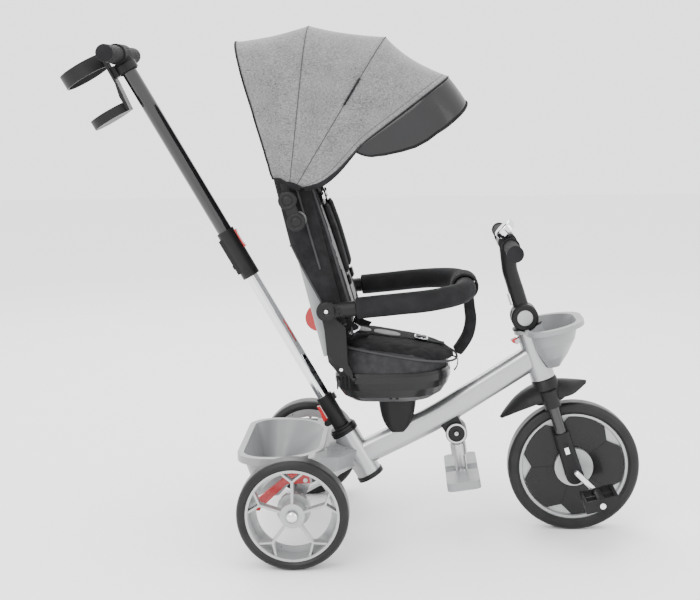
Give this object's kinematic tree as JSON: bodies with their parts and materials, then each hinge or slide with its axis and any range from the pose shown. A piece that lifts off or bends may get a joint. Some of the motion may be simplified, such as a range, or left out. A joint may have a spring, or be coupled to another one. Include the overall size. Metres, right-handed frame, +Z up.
{
  "type": "children's tricycle",
  "caption": "Convertible children's push tricycle with a swivel seat, folding canopy, safety bar, steering push bar, fold-down footrest and storage baskets.",
  "frame": {"origin": "middle of the bounding box at ground level", "axes": "+X forward, +Y the rider's left, +Z up"},
  "size_m": [1.101, 0.501, 0.9729],
  "materials": {
    "black_fabric": "black weave",
    "black_paint": "gloss black paint",
    "black_plastic": "fine matt grain",
    "chrome": "polished",
    "foam": "black foam sleeve",
    "gloss_black_plastic": "gloss",
    "grey_fabric": "grey melange weave",
    "grey_plastic": "satin light grey",
    "red_plastic": "gloss red",
    "silver_paint": "satin silver paint",
    "silver_plastic": "silver painted plastic",
    "steel": "brushed",
    "tyre": "black foam tyre"
  },
  "bodies": {
    "frame": {"main_frame": "silver_paint", "rear_stays": "silver_paint", "frame_bushes": "black_plastic", "seat_pedestal": "black_plastic", "rear_basket": "grey_plastic", "footrest_bracket": "black_plastic"},
    "lock_lever": {"head_lock_lever": "red_plastic"},
    "steering": {"fork": "black_paint", "front_mudguard": "black_plastic", "fork_leg_covers": "black_plastic", "front_basket": "grey_plastic", "stem_base": "black_plastic"},
    "clutch": {"clutch_slider": "chrome"},
    "front_wheel": {"front_tyre": "tyre", "front_wheel_disc": "gloss_black_plastic", "front_rim": "silver_plastic"},
    "crank": {"pedal_crank": "chrome"},
    "right_pedal": {"pedal_right": "black_plastic"},
    "left_pedal": {"pedal_left": "black_plastic"},
    "stem": {"stem_lower": "black_plastic"},
    "tilt_button": {"stem_button": "silver_plastic"},
    "bar_height_button": {"height_button": "silver_plastic"},
    "bars": {"stem_upper": "black_plastic", "handlebar": "black_paint", "grips": "foam", "bell": "chrome"},
    "right_wheel": {"rear_tyre_right": "tyre", "rear_wheel_right": "silver_plastic"},
    "left_wheel": {"rear_tyre_left": "tyre", "rear_wheel_left": "silver_plastic"},
    "right_brake": {"brake_pedal_right": "red_plastic"},
    "left_brake": {"brake_pedal_left": "red_plastic"},
    "seat": {"seat_base": "gloss_black_plastic", "seat_pad": "black_fabric", "armrest_posts": "black_plastic", "crotch_strap": "black_fabric"},
    "backrest": {"back_shell": "grey_plastic", "backrest_pad": "black_fabric", "harness_straps": "black_fabric"},
    "knob": {"recline_knob": "red_plastic"},
    "guard_bar": {"safety_bar": "black_plastic", "bar_foam": "foam", "bar_strap": "black_fabric"},
    "canopy_arm": {"canopy_links": "black_plastic"},
    "canopy_rear": {"canopy_base": "black_plastic", "canopy_panel_rear": "grey_fabric"},
    "canopy_middle": {"canopy_panel_middle": "grey_fabric"},
    "canopy_front": {"canopy_panel_front": "grey_fabric"},
    "canopy_peak": {"canopy_visor": "gloss_black_plastic"},
    "push_lower": {"push_sleeve": "black_plastic", "push_tube_lower": "chrome"},
    "trigger": {"sleeve_trigger": "red_plastic"},
    "push_upper": {"push_tube_upper": "black_paint", "push_connector": "black_plastic", "push_handle": "foam", "cup_holder": "black_plastic"},
    "slide_button": {"connector_button": "red_plastic"},
    "footrest": {"footrest_stem": "steel"},
    "right_foot": {"foot_pad_right": "grey_plastic"},
    "left_foot": {"foot_pad_left": "grey_plastic"}
  },
  "joints": [
    {"name": "steering_turn", "type": "hinge", "parent": "frame", "child": "steering", "pos_m": [0.35952, 0, 0.31654], "axis": [-0.3007, 0, 0.9537], "range_deg": [-35, 35]},
    {"name": "push_bar_turn", "type": "hinge", "parent": "frame", "child": "push_lower", "pos_m": [-0.01953, 0, 0.192], "axis": [-0.4955, 0, 0.8686], "range_deg": [-35, 35]},
    {"name": "head_lock", "type": "hinge", "parent": "frame", "child": "lock_lever", "pos_m": [0.31198, 0, 0.37285], "axis": [0, 1, 0], "range_deg": [-12, 0]},
    {"name": "front_wheel_spin", "type": "hinge", "parent": "steering", "child": "front_wheel", "pos_m": [0.42347, 0, 0.127], "axis": [0, 1, 0], "continuous": true},
    {"name": "crank_spin", "type": "hinge", "parent": "steering", "child": "crank", "pos_m": [0.42347, 0, 0.127], "axis": [0, 1, 0], "continuous": true},
    {"name": "right_pedal_spin", "type": "hinge", "parent": "crank", "child": "right_pedal", "pos_m": [0.45915, -0.118, 0.09488], "axis": [0, 1, 0], "continuous": true},
    {"name": "left_pedal_spin", "type": "hinge", "parent": "crank", "child": "left_pedal", "pos_m": [0.3878, 0.118, 0.15912], "axis": [0, 1, 0], "continuous": true},
    {"name": "clutch_slide", "type": "slide", "parent": "steering", "child": "clutch", "axis": [-0.3007, 0, 0.9537], "range_m": [0, 0.008]},
    {"name": "stem_tilt", "type": "hinge", "parent": "steering", "child": "stem", "pos_m": [0.32674, 0, 0.4205], "axis": [0, 1, 0], "range_deg": [-15, 30]},
    {"name": "tilt_button_press", "type": "slide", "parent": "stem", "child": "tilt_button", "axis": [0, 1, 0], "range_m": [0, 0.0025], "stiffness_N_per_m": 400, "springref_m": -0.001},
    {"name": "bar_height", "type": "slide", "parent": "stem", "child": "bars", "axis": [-0.3007, 0, 0.9537], "range_m": [0, 0.028]},
    {"name": "height_button_press", "type": "slide", "parent": "stem", "child": "bar_height_button", "axis": [0.9537, 0, 0.3007], "range_m": [0, 0.0022], "stiffness_N_per_m": 400, "springref_m": -0.001},
    {"name": "right_wheel_spin", "type": "hinge", "parent": "frame", "child": "right_wheel", "pos_m": [-0.10553, -0.2265, 0.102], "axis": [0, 1, 0], "continuous": true},
    {"name": "right_brake_press", "type": "hinge", "parent": "frame", "child": "right_brake", "pos_m": [-0.08553, -0.177, 0.15], "axis": [0, 1, 0], "range_deg": [-10, 0]},
    {"name": "left_wheel_spin", "type": "hinge", "parent": "frame", "child": "left_wheel", "pos_m": [-0.10553, 0.2265, 0.102], "axis": [0, 1, 0], "continuous": true},
    {"name": "left_brake_press", "type": "hinge", "parent": "frame", "child": "left_brake", "pos_m": [-0.08553, 0.177, 0.15], "axis": [0, 1, 0], "range_deg": [-10, 0]},
    {"name": "seat_swivel", "type": "hinge", "parent": "frame", "child": "seat", "pos_m": [0.08247, 0, 0.268], "axis": [0, 0, 1], "range_deg": [-90, 90]},
    {"name": "backrest_recline", "type": "hinge", "parent": "seat", "child": "backrest", "pos_m": [-0.03453, 0, 0.38], "axis": [0, -1, 0], "range_deg": [0, 16]},
    {"name": "recline_knob_turn", "type": "hinge", "parent": "backrest", "child": "knob", "pos_m": [-0.04614, 0, 0.42657], "axis": [0.9703, 0, 0.2419], "range_deg": [-90, 90]},
    {"name": "guard_bar_lift", "type": "hinge", "parent": "seat", "child": "guard_bar", "pos_m": [-0.04473, 0, 0.4572], "axis": [0, -1, 0], "range_deg": [0, 60]},
    {"name": "canopy_arm_tilt", "type": "hinge", "parent": "backrest", "child": "canopy_arm", "pos_m": [-0.09501, 0, 0.62257], "axis": [0, -1, 0], "range_deg": [-20, 20]},
    {"name": "canopy_tilt", "type": "hinge", "parent": "canopy_arm", "child": "canopy_rear", "pos_m": [-0.11001, 0, 0.66087], "axis": [0, -1, 0], "range_deg": [-20, 20]},
    {"name": "canopy_fold", "type": "hinge", "parent": "canopy_rear", "child": "canopy_middle", "pos_m": [-0.11001, 0, 0.66087], "axis": [0, -1, 0], "range_deg": [0, 20]},
    {"name": "canopy_front_fold", "type": "hinge", "parent": "canopy_middle", "child": "canopy_front", "pos_m": [-0.11001, 0, 0.66087], "axis": [0, -1, 0], "range_deg": [0, 20]},
    {"name": "canopy_peak_fold", "type": "hinge", "parent": "canopy_front", "child": "canopy_peak", "pos_m": [-0.11001, 0, 0.66087], "axis": [0, -1, 0], "range_deg": [0, 8]},
    {"name": "push_bar_height", "type": "slide", "parent": "push_lower", "child": "push_upper", "axis": [-0.4955, 0, 0.8686], "range_m": [-0.2, 0]},
    {"name": "trigger_press", "type": "hinge", "parent": "push_lower", "child": "trigger", "pos_m": [-0.05461, 0, 0.21113], "axis": [0, -1, 0], "range_deg": [0, 12], "stiffness_Nm_per_rad": 0.5, "springref_deg": -2.86},
    {"name": "slide_button_press", "type": "slide", "parent": "push_upper", "child": "slide_button", "axis": [-0.8686, 0, -0.4955], "range_m": [0, 0.002], "stiffness_N_per_m": 400, "springref_m": -0.001},
    {"name": "footrest_fold", "type": "hinge", "parent": "frame", "child": "footrest", "pos_m": [0.19647, 0, 0.194], "axis": [0, 1, 0], "range_deg": [0, 55]},
    {"name": "right_foot_fold", "type": "hinge", "parent": "footrest", "child": "right_foot", "pos_m": [0.20789, -0.022, 0.1128], "axis": [-0.9903, 0, -0.1392], "range_deg": [0, 80]},
    {"name": "left_foot_fold", "type": "hinge", "parent": "footrest", "child": "left_foot", "pos_m": [0.20789, 0.022, 0.1128], "axis": [0.9903, 0, 0.1392], "range_deg": [0, 80]}
  ],
  "couplings": [
    {"joint": "push_bar_turn", "follows": "steering_turn", "ratio": 1},
    {"joint": "crank_spin", "follows": "front_wheel_spin", "ratio": 1},
    {"joint": "canopy_front_fold", "follows": "canopy_fold", "ratio": 1},
    {"joint": "canopy_peak_fold", "follows": "canopy_fold", "ratio": 0.4}
  ]
}
